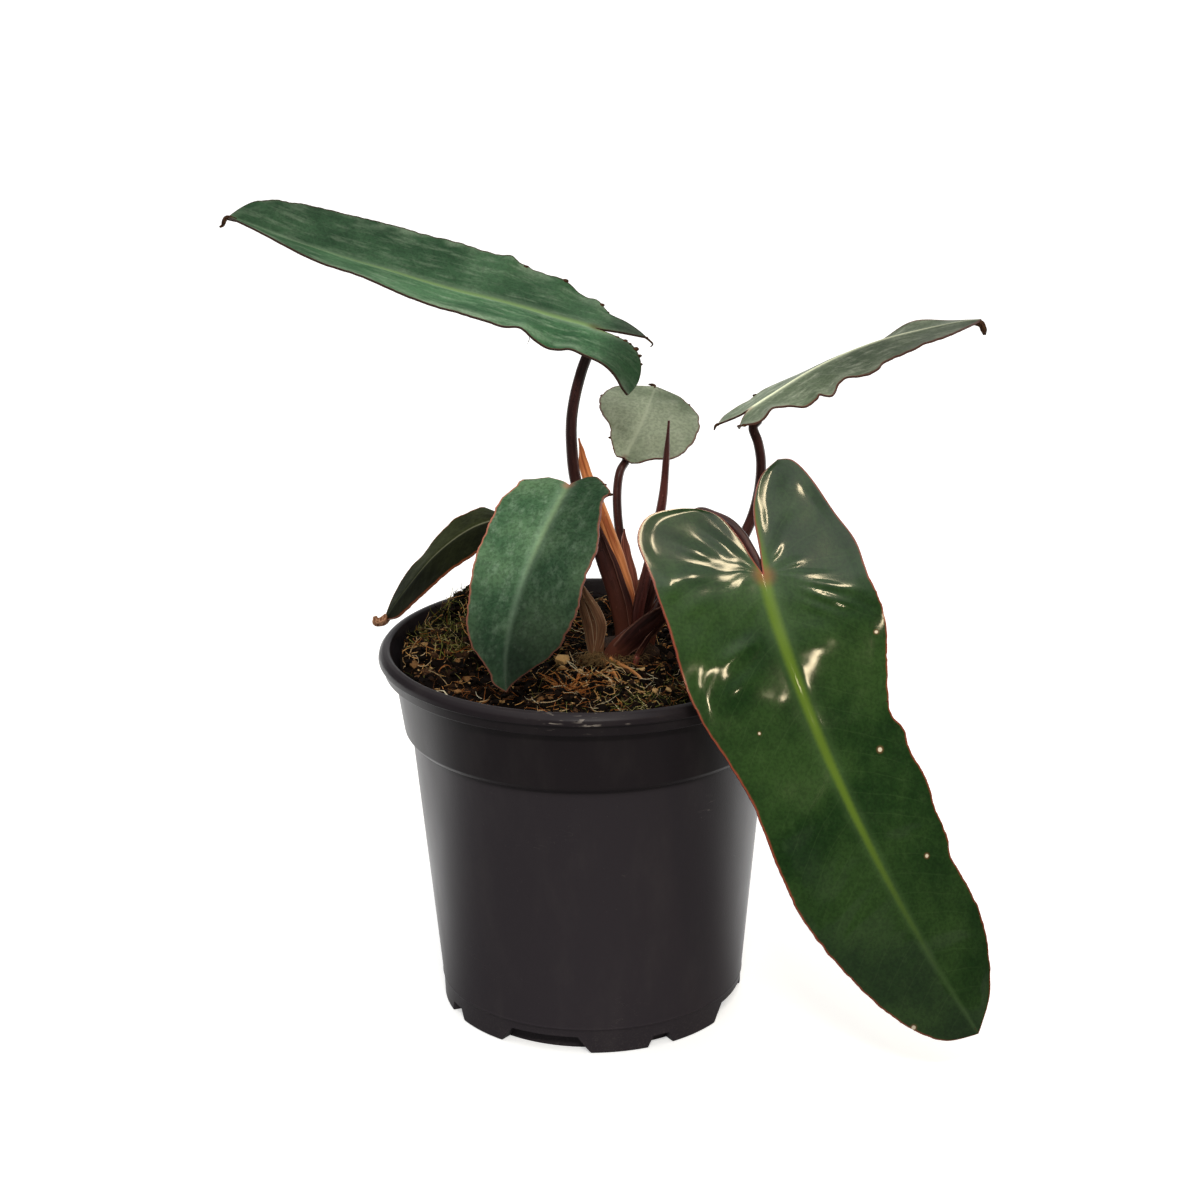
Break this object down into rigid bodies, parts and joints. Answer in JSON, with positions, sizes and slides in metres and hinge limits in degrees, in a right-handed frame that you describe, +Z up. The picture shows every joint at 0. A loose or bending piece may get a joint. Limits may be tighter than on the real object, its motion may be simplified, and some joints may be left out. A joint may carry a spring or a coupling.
{
  "type": "potted philodendron",
  "caption": "Young philodendron with long arrow-shaped leaves on dark stalks, in a black nursery pot with a rolled lip and drain notches.",
  "frame": {"origin": "The middle of the pot's standing face, on the surface that the pot stands on.", "axes": "+Z is up, along the pot's axis. +X is to the right of someone who looks at the plant's front, and +Y is away from them. The largest leaf hangs over the pot's lip at the front, on the right."},
  "size_m": [0.2723, 0.1645, 0.2872],
  "materials": {
    "pot_plastic": "black moulded plastic, satin, a little dusty and scuffed",
    "potting_mix": "dark fibrous bark and peat mix, matt",
    "crown_fibre": "brown fibrous stump, matt",
    "leaf_dull": "dark blue-green leaf skin with a soft sheen, a pale midrib and a thin reddish margin",
    "leaf_pale": "pale grey-green leaf skin with a satin sheen and a dark reddish margin",
    "leaf_glossy": "deep green leaf skin, very glossy, with a yellow-green midrib and a red margin",
    "stalk_skin": "dark purple-brown stalk skin, satin",
    "stalk_brown": "brown-green stalk skin, satin",
    "dry_sheath": "thin dry sheath, orange-brown to red-brown, papery"
  },
  "bodies": {
    "root": {"nursery_pot": "pot_plastic", "potting_mix": "potting_mix", "stem_crown": "crown_fibre", "blade_upper_left": "leaf_dull", "stalk_upper_left": "stalk_skin", "blade_upper_right": "leaf_pale", "stalk_upper_right": "stalk_skin", "blade_front_right": "leaf_glossy", "stalk_front_right": "stalk_skin", "blade_front_left": "leaf_dull", "stalk_front_left": "stalk_brown", "blade_far_left": "leaf_dull", "stalk_far_left": "stalk_skin", "blade_upper_middle": "leaf_pale", "stalk_upper_middle": "stalk_skin", "new_leaf_spear": "stalk_skin", "sheath_upper_left": "dry_sheath", "sheath_upper_middle": "dry_sheath"}
  },
  "joints": []
}
